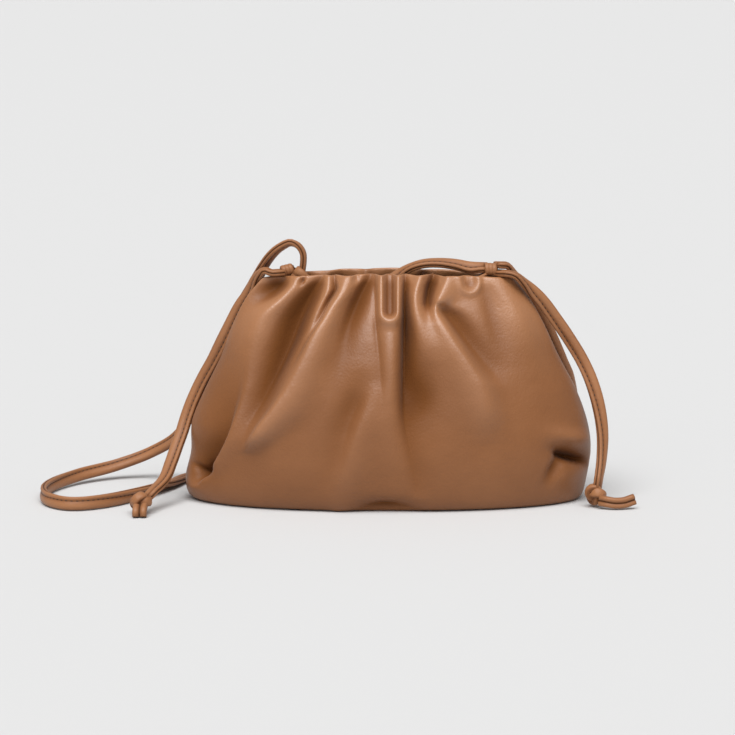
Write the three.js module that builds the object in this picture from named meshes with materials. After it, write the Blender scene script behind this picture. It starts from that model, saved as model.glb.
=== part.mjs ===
// Soft leather drawstring pouch standing on a table, with its strap laid beside it.
// Millimetres, +Z up, the front faces -Y, and the origin is the middle of the base.
import * as THREE from "three";
import { LoftGeometry } from "three/addons/geometries/LoftGeometry.js";

// Leather walls
const wall = 2.3;             // leather and lining together, square to the unfolded form
const seamGap = 0.3;          // between the two panels along their seam
const seamKeep = 0.3;         // share of the outer depth that the lining keeps beside a side seam
const mouthDip = 3.4;         // drop of the mouth at its two ends
const frontDrop = 0.9;        // how much lower the front rim hangs in its middle
const backFlare = 2.2;        // how far the back rim leans out
const flareFrom = 0.95;       // share of the way up where that lean starts
const levelFrom = 0.72;       // share of the way up where the folds start to push level
const levelTo = 0.97;
const sectionPower = 2.3;     // 2 is an ellipse, more is boxier
const panelColumns = 58;
// Places of the rows of a panel's grid, counted in sections
const rowPlaces = [0, 2, 2.8, 3.5, 4.2, 4.7, 5.1, 5.5, 6, 6.6, 7.3, 8.1, 8.9, 9.6, 10.2, 10.6, 11];
const panelSpan = 11;         // steps from the base seam to the mouth in the table of sections
const midCrowding = 0.3;      // draws the columns towards the middle of a panel
const seamFade = 0.28;        // share of a half turn over which the folds grow from a side seam
const baseFade = 1.6;          // height over which the folds grow from the base

// Strap
const strapWidth = 7;
const strapThick = 3.6;
const strapSteps = 1.5;       // sections for each row of a route
const keeperHalf = 4;
const keeperRadius = 3.2;
const keeperWraps = 3;
const wrapDepth = 0.8;
const knotRadius = 3.3;
const knotTube = 1.55;

// Colours of the leather
const leatherColour = 0x8a5632;
const strapColour = 0x8f5c39;

// Pouch sections from the seam under the base up to the mouth:
// height, reach of a panel from the seam plane, half widths to the left and to the right,
// and edge, the sharpness of the side (0.5 is round)
const sectionColumns = ["height", "reach", "left", "right", "edge"];
const sections = [
  [0, 0, 101, 100, 0.5],
  [0, 22, 102.5, 101.5, 0.5],
  [0, 36, 104.5, 103, 0.5],
  [3, 42, 108, 105.5, 0.5],
  [12, 45, 109, 107.5, 0.5],
  [26, 46, 107.3, 109.5, 0.5],
  [42, 44.5, 106.6, 107.5, 0.52],
  [60, 40.5, 99.2, 101, 0.58],
  [78, 34.5, 90.6, 91.6, 0.66],
  [96, 26, 84, 83.4, 0.72],
  [110.4, 17.5, 77.2, 75.8, 0.74],
  [122.6, 10, 68.6, 67.4, 0.68],
];

// Folds that run down a panel, each a line through its rows from the top:
// x is the middle of the fold, wide its half width on either side, lift the rise (a valley is below zero),
// and power the sharpness of the crest (2 is round)
const foldColumns = ["height", "x", "wideLeft", "wideRight", "lift"];
const frontFolds = {
  cornerBulge: { power: 2, rows: [
    [124, -47.5, 4, 4, 1.5], [116, -52.5, 5, 5, 3.2], [108, -59, 7, 6, 4], [99, -66, 9, 7, 4],
    [86, -71, 12, 8, 3.2], [70, -75, 12, 8, 2], [54, -78, 10, 8, 0.8], [42, -80, 9, 8, 0],
  ] },
  mainValley: { power: 1.6, rows: [
    [126, -33.5, 3.4, 3.4, -2], [120, -36.5, 4.4, 4.2, -3.8], [114.5, -41, 5.5, 5.2, -6],
    [108.5, -45.2, 6.8, 6, -8], [100.6, -50.2, 8, 6.6, -9.2], [93, -53.6, 8.5, 6.8, -9.2],
    [82.2, -58.4, 8.5, 6.6, -8.4], [72.8, -62.4, 8, 6.2, -7], [63.2, -66.5, 7.5, 5.6, -5.4],
    [56.8, -69.5, 7, 5, -4.2], [50, -73, 6.5, 4.6, -2.6], [43, -76.5, 6, 4, -1], [37, -79, 6, 4, 0],
  ] },
  pleatStrip: { power: 2, rows: [
    [126, -33, 3, 2, 1.6], [118, -32.5, 3.4, 2, 2.2], [112, -33.6, 3.6, 1.8, 2.2],
    [104, -38, 4, 1.8, 1.4], [95, -42.5, 4, 2, 0.9], [84, -48.5, 4, 2.4, 0.7], [70, -55, 4, 2.5, 0.5],
    [60, -60, 4, 2.5, 0],
  ] },
  longRidge: { power: 2.2, rows: [
    [126, -20.5, 4.5, 5, 3.5], [119, -23, 3.8, 5.5, 5], [113, -25.4, 3.4, 6, 6.2],
    [107.8, -28.4, 3.8, 6.5, 6.8], [100, -32.4, 4.4, 7.5, 6.8], [91.4, -37.6, 5.4, 9, 6.8],
    [79, -43.4, 6.2, 10.5, 6.6], [65.6, -50.6, 6, 12, 6.5], [53.7, -58.8, 4.6, 12.5, 6.8],
    [45.6, -65.2, 4, 11, 7], [41, -68.4, 3.8, 9, 6.8], [37.4, -70.8, 3.6, 7.5, 5.6],
    [34, -73, 3.6, 6, 2.6], [30.5, -75.4, 4, 6, 0],
  ] },
  innerValley: { power: 1.7, rows: [
    [126, -9, 3.2, 2.8, -2.4], [120, -10.8, 4, 3.4, -4.6], [114.6, -14, 4.8, 4.2, -6],
    [109.2, -17.2, 5.4, 5.2, -6.2], [102.8, -20.4, 6, 6, -5.4], [94.6, -23.5, 6.4, 6.8, -4],
    [85.2, -25.2, 7, 7.5, -2.6], [74, -27, 8, 8, -1.3], [60, -29, 8, 8, 0],
  ] },
  middleColumn: { power: 2, rows: [
    [126, 0.3, 6, 5, 2], [100, 0.3, 6, 5.5, 3.2], [84, 1, 6.5, 5.5, 3.4], [66, 1.5, 7, 5.5, 2.6],
    [50, 1, 9, 6, 1.6], [34, 0, 10, 7, 0.8], [20, 0, 10, 8, 0],
  ] },
  footRidge: { power: 2, rows: [
    [70, -6, 6, 7, 0], [61, -10, 6, 8, 1.2], [50, -13.5, 5, 9, 2], [36, -18.5, 5, 9, 2.2],
    [20, -23, 6, 9, 2], [8, -26.5, 6, 9, 1],
  ] },
  footValley: { power: 2, rows: [
    [76, -16, 7, 6, 0], [66, -17, 8, 6, -1.6], [57.7, -18.7, 8, 5.5, -3], [48, -22.5, 8, 5, -2.4],
    [36, -25.5, 8, 5, -1.4], [20, -29, 8, 6, -0.6], [10, -31, 8, 6, 0],
  ] },
  deepValley: { power: 1.25, rows: [
    [126, 8.4, 1.5, 2.2, -2.5], [118, 8.3, 1.5, 2.6, -5], [108, 8.1, 1.6, 3.2, -8],
    [96, 8, 1.8, 4.2, -10], [84, 7.8, 1.9, 5.2, -10], [75, 7.6, 2.1, 6.6, -9], [66, 7.4, 2.2, 8, -7.5],
    [56, 7.4, 2.6, 9, -5], [46, 8.4, 3, 9, -3], [30, 11.5, 3.6, 8, -1.6], [16, 14, 4, 7, -0.8],
    [8, 14.8, 4, 6, 0],
  ] },
  shortRidge: { power: 2, rows: [
    [126, 17.6, 3, 3.4, 3], [120.5, 15.8, 3, 3.4, 4.2], [114, 13.4, 3, 3.8, 5], [106, 13, 3, 4.4, 4.8],
    [98, 14.6, 3.6, 5.4, 3.6], [88, 18.5, 5.5, 6.5, 2], [76, 24, 7, 7, 0],
  ] },
  recess: { power: 1.8, rows: [
    [126, 25.5, 3.4, 3, -3.5], [120, 23.8, 3.2, 2.6, -6.5], [114, 21.8, 2.8, 2.2, -7.5],
    [108, 20.6, 2.6, 2.2, -5.5], [103, 20.8, 2.6, 2.6, -2], [98, 22, 2.8, 3, 0],
  ] },
  lip: { power: 2, rows: [
    [126, 32.5, 2.4, 7, 3.5], [121, 30.6, 2.2, 8, 4.6], [116, 28, 2, 8.5, 5.2],
    [110.5, 25.4, 1.8, 7.5, 5], [107, 24.4, 1.8, 5, 3.4], [103, 24.6, 2, 4, 0],
  ] },
  lipValley: { power: 2, rows: [
    [109, 25.5, 2, 3.4, 0], [106, 28.5, 3.4, 5.5, -1.8], [102, 33, 5, 6.8, -3.1],
    [95, 38, 6.2, 7.8, -3.5], [86, 44, 7, 8, -2.9], [76, 50, 7.5, 8.5, -1.8], [66, 55, 7.5, 8.5, 0],
  ] },
  rightRidge: { power: 2, rows: [
    [108, 20.5, 3, 3, 0], [104.5, 23.2, 3.6, 3, 2.6], [95.4, 28.6, 6, 5.8, 4.8],
    [85.7, 34.4, 8.5, 7.4, 5.6], [76.1, 40.8, 10, 8.4, 6], [67.5, 45.4, 11, 9, 6],
    [59.4, 48.4, 11, 9, 5.6], [53.2, 49.6, 10.5, 9.5, 4.6], [47.7, 50, 10, 9.5, 3],
    [42, 50.2, 9, 9, 1.2], [36, 50.4, 9, 9, 0],
  ] },
  shoulderValley: { power: 2, rows: [
    [118, 50.5, 3, 3.4, -0.6], [111, 52.5, 4.5, 4.5, -1.6], [98, 56, 5.5, 5.5, -1.8],
    [84, 60, 6.5, 6.5, -1], [72, 63, 6.5, 6.5, 0],
  ] },
  shoulderRidge: { power: 2, rows: [
    [126, 53, 4, 7, 1.2], [120, 56, 5, 8, 2], [107.5, 63.5, 7, 9, 3], [94, 70, 9, 9, 2.8],
    [80, 75, 10, 10, 1.4], [66, 79, 10, 10, 0],
  ] },
  gussetHollow: { power: 2, rows: [
    [80, -79, 8, 6, 0], [71, -80, 10, 4.5, -1.2], [60, -82, 13, 3, -2.4], [45.6, -85.5, 13, 1.8, -3.4],
    [36.5, -88.6, 12, 1.5, -4.4], [28, -92.6, 10, 1.4, -5.6], [21.5, -96.6, 8, 1.4, -6.6],
    [15, -101.4, 4.5, 1.4, -5], [9, -104, 3, 2, 0],
  ] },
  gussetEdge: { power: 2, rows: [
    [60, -80.5, 3, 8, 0], [45.6, -83, 1.8, 8, 1.2], [36.5, -86, 1.6, 7, 1.6], [28, -90, 1.6, 6, 1.8],
    [21.5, -94, 1.6, 6, 1.6], [15, -99, 1.8, 5, 0.8], [10, -102, 3, 5, 0],
  ] },
};
const backFolds = {
  leftShoulder: { power: 2, rows: [
    [126, -47, 7, 5, 4.6], [112, -51, 7, 6, 4], [90, -62, 9, 8, 3], [66, -72, 11, 10, 1.4],
    [48, -78, 11, 10, 0],
  ] },
  leftValley: { power: 2, rows: [
    [126, -32, 3.5, 3.5, -1.5], [112, -37, 4.5, 4.5, -3.5], [92, -46, 6, 6, -4.5], [70, -54, 8, 8, -2],
    [52, -60, 8, 8, 0],
  ] },
  leftRidge: { power: 2, rows: [
    [126, -24, 4, 4, 2], [110, -27, 5, 6, 4.5], [86, -35, 7, 8, 4.5], [60, -43, 9, 10, 3],
    [36, -50, 10, 11, 0],
  ] },
  leftInner: { power: 2, rows: [
    [126, -12, 3, 3, -2], [112, -14, 4, 4, -5], [94, -17, 6, 6, -4], [72, -20, 8, 8, -1.6],
    [54, -22, 8, 8, 0],
  ] },
  middleRidge: { power: 2, rows: [
    [126, 2, 6, 7, 2], [108, 1, 6, 7, 4], [80, -1, 8, 9, 3.6], [52, -2, 10, 10, 1.6],
    [30, -3, 10, 10, 0],
  ] },
  rightInner: { power: 2, rows: [
    [126, 19, 3, 3, -2.5], [110, 18, 4, 4, -5], [90, 22, 6, 6, -4], [68, 27, 8, 8, -1.4],
    [50, 30, 8, 8, 0],
  ] },
  rightRidge: { power: 2, rows: [
    [126, 30, 4, 5, 2], [110, 33, 5, 6, 4.5], [86, 40, 7, 8, 4.5], [60, 48, 9, 10, 3],
    [38, 54, 10, 11, 0],
  ] },
  rightValley: { power: 2, rows: [
    [126, 42, 3, 3, -1], [112, 46, 4.5, 4.5, -3.4], [92, 54, 6, 6, -3.5], [70, 61, 8, 8, -1.6],
    [54, 66, 8, 8, 0],
  ] },
  rightShoulder: { power: 2, rows: [
    [126, 52, 5, 5, 2.5], [110, 58, 6, 6, 3], [88, 69, 9, 9, 2.4], [64, 78, 10, 10, 0],
  ] },
  leftHollow: { power: 2, rows: [
    [74, -82, 8, 8, 0], [58, -86, 9, 8, -3], [40, -92, 8, 8, -6], [24, -98, 7, 7, -7],
    [9, -102, 5, 5, 0],
  ] },
  rightHollow: { power: 2, rows: [
    [72, 84, 8, 8, 0], [56, 88, 8, 9, -3], [40, 93, 8, 8, -6], [24, 99, 7, 7, -7], [9, 102, 5, 5, 0],
  ] },
};

// Oval dents and puffs of the front: middle, half length and half width, turn in degrees, and rise
const dentColumns = ["x", "height", "long", "wide", "turn", "lift"];
const frontDents = [
  [-61.2, 115, 10.5, 5, 31, -6.2], [17, 60, 15, 9, 90, -3], [96, 30.5, 11, 6.5, -20, -6],
  [100.5, 26, 10, 2.2, -20, -7.5], [88, 23.5, 7, 4, 60, -3], [98, 43, 11, 5, -14, 3.4],
  [97, 14, 9, 6, -10, 2], [-2, 2.4, 13, 4.6, 0, -4], [-98.6, 18.5, 4.2, 2.6, 38, -7],
  [-104, 9, 6, 5, 0, 1.5],
];

// Tucks at the front of the mouth, each a hollow with a round foot and a rolled edge:
// middle and height of the foot, half width of the hollow, half width and rise of the rolled edge,
// depth of the hollow, and slant to the right for each millimetre up
const tuckColumns = ["x", "foot", "half", "wide", "lift", "hollow", "slant"];
const frontTucks = [
  [0.2, 104, 4.9, 2.8, 3, -5.4, 0], [45.6, 116.8, 3, 1.4, 1, -2.4, 0],
];

// Strap routes: the middle of the strap, and the turn of its width in degrees
// (0 is along the strand's own upright, 90 is from front to back)
const routeColumns = ["x", "y", "z", "turn"];
const shoulderRoute = [
  [60.2, 1.8, 126.5, 90], [63.6, 3.8, 125.8, 87], [67, 6, 121.6, 67], [71, 6.6, 115.8, 34],
  [75.6, 7.4, 109.6, 10], [80.2, 8.6, 102.2, 0], [84.6, 10.4, 94.3, 0], [89, 12.8, 85, 0],
  [95.2, 16.8, 71, 0], [99.8, 21.5, 60.6, 0], [103.5, 30, 43, 0], [104, 40, 24, 0], [99, 50, 10, 0],
  [86, 58.5, 4.4, 20], [60, 63.5, 3.9, 45], [25, 61, 3, 80], [-30, 57.5, 2.8, 95], [-84, 56, 2.6, 90],
  [-110.5, 43, 2.6, 90], [-122, 17, 2.8, 100], [-134, -9, 3.7, 145], [-150, -29, 3.9, 185],
  [-168, -37, 3.9, 195], [-182, -26, 4, 200], [-187, -6, 4, 200], [-183.5, 14, 4.2, 205],
  [-172, 33, 5.2, 220], [-153, 46, 8, 228], [-133, 47, 15.4, 225], [-117, 38, 27, 210],
  [-107, 28, 46, 195], [-97, 21.5, 70, 185], [-86, 17.6, 92.4, 180], [-79.6, 16.2, 103.4, 172],
  [-73.2, 14.6, 114.4, 152], [-67, 9.8, 126, 130], [-61.4, 5.8, 133.3, 120], [-55.8, 4.4, 138, 112],
  [-52.4, 4, 139.1, 104], [-48.7, 3.8, 137.1, 95], [-46.3, 4, 132.4, 90], [-46.2, 4.3, 127.2, 90],
  [-46.8, 4.5, 122.4, 90], [-46, 4.8, 117.6, 90], [-42.6, 5.4, 113.6, 65], [-36.5, 5.2, 111.6, 10],
  [-22, 4.8, 111.4, 0], [-5, 4.8, 113.8, 0], [3, 4.6, 119.4, 40], [10.4, 3.4, 124.6, 70],
  [18.3, 2, 127.9, 78], [27, 1.2, 128.7, 78], [35.6, 0.8, 127.7, 72], [43, 0.4, 126, 64],
  [49.8, 0.2, 125.8, 75],
];
const mouthRoute = [
  [-49.5, -0.9, 122.2, 14], [-47, -1.8, 121, 3], [-43.5, -1.1, 116.6, 0], [-39.5, 0.1, 112.4, 0],
  [-35, -1, 109.2, 0], [-29, -3.6, 106.6, 0], [-20, -4.4, 104.8, 0], [0, -4.4, 103.4, 0],
  [24, -4.4, 105, 0], [36, -3, 109.8, 3], [42, -1.2, 115.4, 30], [46, -0.2, 119.4, 75],
  [49.8, -0.2, 121, 90],
];
const leftTailRoute = [
  [-58.9, -0.4, 122.7, 87], [-63, -0.4, 122.5, 87], [-67, 1.6, 123, 80], [-71.4, 5.4, 118.6, 67],
  [-75.4, 7.4, 111.4, 48], [-80.2, 8.2, 104.2, 30], [-84.5, 8.4, 96.2, 22], [-89.6, 7.9, 85.4, 20],
  [-95.8, 8, 73.4, 20], [-101.4, 7.6, 63.4, 20], [-106.2, 6, 53.4, 20], [-109.6, 3.6, 44.6, 20],
  [-112.2, -0.4, 36.2, 20], [-114.7, -6, 29.2, 20], [-117.3, -14, 21.6, 25], [-119.4, -24, 14.6, 35],
  [-123.6, -36, 10, 45],
];
const rightTailRoute = [
  [59.5, -0.9, 122.4, 90], [63.5, -3.2, 122.2, 90], [68, -4, 120.9, 80], [72.2, -2.6, 116.9, 62],
  [76.4, -1.4, 112.2, 34], [82, 0.4, 106, 18], [89.5, 1.8, 97, 15], [97, 1, 87, 18],
  [104, -1.5, 75.5, 22], [109.2, -5, 64, 28], [112.9, -9, 51, 36], [114.6, -14, 37.5, 46],
  [113.8, -19.5, 25, 56], [111.6, -25.6, 14, 66],
];
const leftTipRoute = [
  [-130.6, -51.8, 7, 0], [-130.8, -53, 4.4, 0], [-130.8, -53.8, 1.4, 0],
];
const rightTipRoute = [
  [115.2, -33.6, 4.2, 0], [119.2, -34.6, 3.7, 0], [124.6, -33.8, 3.8, 0], [130.2, -32.4, 5.4, 0],
];

// Knots: the middle, and the lean about X and turn about Z in degrees
const keeperColumns = ["x", "y", "z"];
const keepers = {
  keeper_left: [-54.4, 0.3, 123.7],
  keeper_right: [54.5, 0, 124.2],
};
const endKnotColumns = ["x", "y", "z", "lean", "turn"];
const endKnots = {
  end_knot_left: [-130.6, -43.8, 6.4, 50, 15],
  end_knot_right: [109.7, -28, 6.9, 25, -30],
};

// Turns the rows of a table into objects with its column names
function named(columns, rows) {
  return rows.map((row) => Object.fromEntries(columns.map((column, i) => [column, row[i]])));
}

// Smooth curve through one column of the section table, at a share of the way from base to mouth
function sectionValue(column, share) {
  const last = sections.length - 1;
  const place = share * last;
  const i = Math.min(Math.floor(place), last - 1);
  const values = sections.map((row) => row[sectionColumns.indexOf(column)]);
  const before = i > 0 ? values[i - 1] : 2 * values[0] - values[1];
  const after = i + 2 <= last ? values[i + 2] : 2 * values[last] - values[last - 1];
  return hermite(values[i], values[i + 1], (values[i + 1] - before) / 2, (after - values[i]) / 2, place - i);
}

// Cubic from one value to the next with the slope at each
function hermite(from, to, slopeFrom, slopeTo, t) {
  return from * (1 + 2 * t) * (1 - t) ** 2 + slopeFrom * t * (1 - t) ** 2
    + to * t ** 2 * (3 - 2 * t) + slopeTo * t ** 2 * (t - 1);
}

// Unfolded form of a panel: turn runs from 0 at the left seam to pi at the right, share from base to mouth
function plainPoint(side, turn, share) {
  const across = -Math.cos(turn);
  const halfWidth = sectionValue(across < 0 ? "left" : "right", share);
  const bulge = Math.max(0, 1 - Math.abs(across) ** sectionPower) ** sectionValue("edge", share);
  const drop = side < 0 ? frontDrop * (1 - across ** 2) : 0;
  const dip = (mouthDip * across ** 2 + drop) * share ** 6;
  const height = Math.max(0, sectionValue("height", share)) - dip;
  const flare = side > 0 ? backFlare * (Math.max(0, share - flareFrom) / (1 - flareFrom)) ** 2 : 0;
  const depth = (sectionValue("reach", share) + flare) * bulge;
  return new THREE.Vector3(halfWidth * across, side * depth, height);
}

// Direction square to the unfolded form, from two short steps along it, turned level near the mouth
function plainNormal(side, turn, share) {
  const step = 1e-3;
  const lowTurn = Math.max(turn - step, 0);
  const highTurn = Math.min(turn + step, Math.PI);
  const lowShare = Math.max(share - step, 0);
  const highShare = Math.min(share + step, 1);
  const along = plainPoint(side, highTurn, share).sub(plainPoint(side, lowTurn, share));
  const upward = plainPoint(side, turn, highShare).sub(plainPoint(side, turn, lowShare));
  const normal = along.cross(upward).multiplyScalar(-side);
  if (normal.length() < 1e-9) {
    return new THREE.Vector3(0, 0, -1);
  }
  normal.normalize();
  normal.z *= 1 - THREE.MathUtils.smoothstep(share, levelFrom, levelTo);
  return normal.normalize();
}

// Values of a fold at a height: a cubic between its rows, held past both ends
function foldAt(rows, z) {
  const last = rows.length - 1;
  const height = THREE.MathUtils.clamp(z, rows[last].height, rows[0].height);
  const below = rows.findIndex((row) => row.height <= height);
  const i = THREE.MathUtils.clamp(below - 1, 0, last - 1);
  const gap = rows[i + 1].height - rows[i].height;
  const slope = (column, k) => {
    const a = rows[Math.max(k - 1, 0)];
    const b = rows[Math.min(k + 1, last)];
    return gap * (b[column] - a[column]) / (b.height - a.height);
  };
  const t = (height - rows[i].height) / gap;
  const value = (column) => hermite(
    rows[i][column], rows[i + 1][column], slope(column, i), slope(column, i + 1), t);
  return Object.fromEntries(foldColumns.slice(1).map((column) => [column, value(column)]));
}

// Rise of one fold, which falls away on both sides of its line
function foldLift(fold, x, z) {
  const { x: middle, wideLeft, wideRight, lift } = foldAt(fold.rows, z);
  const aside = x - middle;
  return lift * Math.exp(-(Math.abs(aside / (aside < 0 ? wideLeft : wideRight)) ** fold.power));
}

// Rise of one oval dent
function dentLift(dent, x, z) {
  const turn = THREE.MathUtils.degToRad(dent.turn);
  const along = (x - dent.x) * Math.cos(turn) + (z - dent.height) * Math.sin(turn);
  const aside = (z - dent.height) * Math.cos(turn) - (x - dent.x) * Math.sin(turn);
  return dent.lift * Math.exp(-((along / dent.long) ** 2) - (aside / dent.wide) ** 2);
}

// Rise of one tuck: a rolled edge along a U-shaped line, and a hollow inside it
function tuckLift(tuck, x, z) {
  const size = Math.hypot(1, tuck.slant);
  const aside = (x - tuck.x - tuck.slant * (z - tuck.foot)) / size;
  const along = ((x - tuck.x) * tuck.slant + z - tuck.foot) / size;
  const inside = tuck.half - Math.hypot(aside, Math.min(along, 0));
  return tuck.lift * Math.exp(-((inside / tuck.wide) ** 2))
    + tuck.hollow * THREE.MathUtils.smoothstep(inside, 0.5, tuck.half * 0.8);
}

// Outer and inner point of a folded panel
function wallPoints(side, form, turn, share) {
  const plain = plainPoint(side, turn, share);
  const normal = plainNormal(side, turn, share);
  const fade = THREE.MathUtils.smoothstep(Math.sin(turn), 0, seamFade)
    * THREE.MathUtils.smoothstep(plain.z, 0, baseFade);
  const sum = (items, rise) => items.reduce((total, item) => total + rise(item, plain.x, plain.z), 0);
  const lift = fade * (sum(form.folds, foldLift) + sum(form.dents, dentLift) + sum(form.tucks, tuckLift));
  const inner = plain.clone().addScaledVector(normal, -wall);
  inner.y = side * Math.max(side * inner.y, side * plain.y * seamKeep);
  const outer = plain.clone();
  for (const point of [outer, inner]) {
    point.addScaledVector(normal, lift);
    point.y += side * seamGap / 2;
  }
  return { outer, inner };
}

// Tables of one panel with their column names
function panelForm(folds, dents, tucks) {
  return {
    folds: Object.values(folds).map(({ power, rows }) => ({ power, rows: named(foldColumns, rows) })),
    dents: named(dentColumns, dents),
    tucks: named(tuckColumns, tucks),
  };
}

// Closed wall between an outer and an inner grid of points, with a strip round its edge
function panelGeometry(side, form) {
  const positions = [];
  const index = [];
  const panelRows = rowPlaces.length - 1;
  const at = (layer, column, row) => (layer * (panelColumns + 1) + column) * (panelRows + 1) + row;
  const layers = [[], []];
  for (let column = 0; column <= panelColumns; column++) {
    const u = column / panelColumns;
    const turn = Math.PI * u + midCrowding * Math.sin(2 * Math.PI * u) / 2;
    for (let row = 0; row <= panelRows; row++) {
      const { outer, inner } = wallPoints(side, form, turn, rowPlaces[row] / panelSpan);
      layers[0].push(...outer.toArray());
      layers[1].push(...inner.toArray());
    }
  }
  positions.push(...layers[0], ...layers[1]);
  const quad = (a, b, c, d) => (side < 0 ? index.push(a, b, c, a, c, d) : index.push(a, c, b, a, d, c));
  for (let column = 0; column < panelColumns; column++) {
    for (let row = 0; row < panelRows; row++) {
      quad(at(0, column, row), at(0, column + 1, row), at(0, column + 1, row + 1), at(0, column, row + 1));
      quad(at(1, column, row), at(1, column, row + 1), at(1, column + 1, row + 1), at(1, column + 1, row));
    }
    quad(at(1, column, 0), at(1, column + 1, 0), at(0, column + 1, 0), at(0, column, 0));
    const top = panelRows;
    quad(at(0, column, top), at(0, column + 1, top), at(1, column + 1, top), at(1, column, top));
  }
  for (let row = 0; row < panelRows; row++) {
    const end = panelColumns;
    quad(at(0, 0, row), at(0, 0, row + 1), at(1, 0, row + 1), at(1, 0, row));
    quad(at(1, end, row), at(1, end, row + 1), at(0, end, row + 1), at(0, end, row));
  }
  const geometry = new THREE.BufferGeometry();
  geometry.setAttribute("position", new THREE.Float32BufferAttribute(positions, 3));
  geometry.setIndex(index);
  geometry.computeVertexNormals();
  return geometry;
}

const backward = new THREE.Vector3(0, 1, 0);
const upward = new THREE.Vector3(0, 0, 1);
const rightward = new THREE.Vector3(1, 0, 0);
const leftward = new THREE.Vector3(-1, 0, 0);

// Flat strap with rounded edges along a route
function strapGeometry(rows, upright) {
  const route = named(routeColumns, rows);
  const curve = new THREE.CatmullRomCurve3(
    route.map((row) => new THREE.Vector3(row.x, row.y, row.z)), false, "catmullrom", 0.5);
  const steps = Math.round((route.length - 1) * strapSteps);
  const outline = strapOutline();
  const rings = [];
  let lastAcross = null;
  for (let step = 0; step <= steps; step++) {
    const t = step / steps;
    const place = t * (route.length - 1);
    const i = Math.min(Math.floor(place), route.length - 2);
    const turn = THREE.MathUtils.degToRad(THREE.MathUtils.lerp(route[i].turn, route[i + 1].turn, place - i));
    const centre = curve.getPoint(t);
    const tangent = curve.getTangent(t);
    const across = upright.clone().multiplyScalar(Math.cos(turn)).addScaledVector(backward, Math.sin(turn));
    across.projectOnPlane(tangent).normalize();
    if (lastAcross && across.dot(lastAcross) < 0) {
      across.negate();
    }
    lastAcross = across;
    const through = new THREE.Vector3().crossVectors(tangent, across);
    rings.push(outline.map((p) => centre.clone().addScaledVector(across, p.x).addScaledVector(through, p.y)));
  }
  return new LoftGeometry(rings, { closed: true, capStart: true, capEnd: true });
}

function strapOutline() {
  const halfWidth = strapWidth / 2;
  const halfThick = strapThick / 2;
  const corner = halfThick * 0.6;
  const outline = [];
  for (const [signX, signY, flip] of [[1, 1, false], [-1, 1, true], [-1, -1, false], [1, -1, true]]) {
    const pair = [
      new THREE.Vector2(signX * halfWidth, signY * (halfThick - corner)),
      new THREE.Vector2(signX * (halfWidth - corner), signY * halfThick),
    ];
    outline.push(...(flip ? pair.reverse() : pair));
  }
  return outline;
}

// Barrel of turns wrapped round the strands, its axis along X
function keeperGeometry() {
  const profile = [new THREE.Vector2(0, -keeperHalf)];
  const samples = keeperWraps * 3;
  for (let i = 0; i <= samples; i++) {
    const share = i / samples;
    const wrap = Math.abs(Math.sin(Math.PI * keeperWraps * share));
    profile.push(new THREE.Vector2(keeperRadius - wrapDepth * (1 - wrap), (share * 2 - 1) * keeperHalf));
  }
  profile.push(new THREE.Vector2(0, keeperHalf));
  return new THREE.LatheGeometry(profile, 12).rotateZ(-Math.PI / 2);
}

// Overhand knot drawn tight, standing on its edge
function endKnotGeometry(lean, turn) {
  return new THREE.TorusKnotGeometry(knotRadius, knotTube, 40, 6, 2, 3)
    .rotateX(THREE.MathUtils.degToRad(90 + lean))
    .rotateZ(THREE.MathUtils.degToRad(turn));
}

function leather(colour, roughness) {
  return new THREE.MeshStandardMaterial({ color: colour, roughness, metalness: 0 });
}

function piece(name, geometry, colour, roughness) {
  const mesh = new THREE.Mesh(geometry, leather(colour, roughness));
  mesh.name = name;
  return mesh;
}

const handbag = new THREE.Group();
handbag.name = "drawstring_pouch";
const frontForm = panelForm(frontFolds, frontDents, frontTucks);
const backForm = panelForm(backFolds, [], []);
handbag.add(piece("front_panel", panelGeometry(-1, frontForm), leatherColour, 0.5));
handbag.add(piece("back_panel", panelGeometry(1, backForm), leatherColour, 0.5));
const strapRoutes = {
  shoulder_strap: { rows: shoulderRoute, upright: upward },
  mouth_string: { rows: mouthRoute, upright: upward },
  tail_left: { rows: leftTailRoute, upright: leftward },
  tail_right: { rows: rightTailRoute, upright: rightward },
  tip_left: { rows: leftTipRoute, upright: rightward },
  tip_right: { rows: rightTipRoute, upright: upward },
};
for (const [name, { rows, upright }] of Object.entries(strapRoutes)) {
  handbag.add(piece(name, strapGeometry(rows, upright), strapColour, 0.55));
}
for (const [name, row] of Object.entries(keepers)) {
  const { x, y, z } = named(keeperColumns, [row])[0];
  handbag.add(piece(name, keeperGeometry().translate(x, y, z), strapColour, 0.55));
}
for (const [name, row] of Object.entries(endKnots)) {
  const { x, y, z, lean, turn } = named(endKnotColumns, [row])[0];
  handbag.add(piece(name, endKnotGeometry(lean, turn).translate(x, y, z), strapColour, 0.55));
}

export default handbag;
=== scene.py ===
import math
import bpy
import numpy as np
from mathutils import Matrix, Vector


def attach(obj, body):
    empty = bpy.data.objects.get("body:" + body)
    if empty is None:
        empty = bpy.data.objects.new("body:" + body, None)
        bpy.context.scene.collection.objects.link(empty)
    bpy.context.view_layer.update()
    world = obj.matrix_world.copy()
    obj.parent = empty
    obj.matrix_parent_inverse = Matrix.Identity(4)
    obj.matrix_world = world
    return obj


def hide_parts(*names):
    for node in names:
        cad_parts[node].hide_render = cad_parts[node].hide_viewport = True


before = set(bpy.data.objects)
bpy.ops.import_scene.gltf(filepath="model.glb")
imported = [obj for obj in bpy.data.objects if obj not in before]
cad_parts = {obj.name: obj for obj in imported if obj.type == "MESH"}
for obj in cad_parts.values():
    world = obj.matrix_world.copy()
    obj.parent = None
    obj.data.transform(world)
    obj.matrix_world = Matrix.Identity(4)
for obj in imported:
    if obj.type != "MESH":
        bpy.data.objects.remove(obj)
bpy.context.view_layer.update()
mm = 0.001


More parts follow.
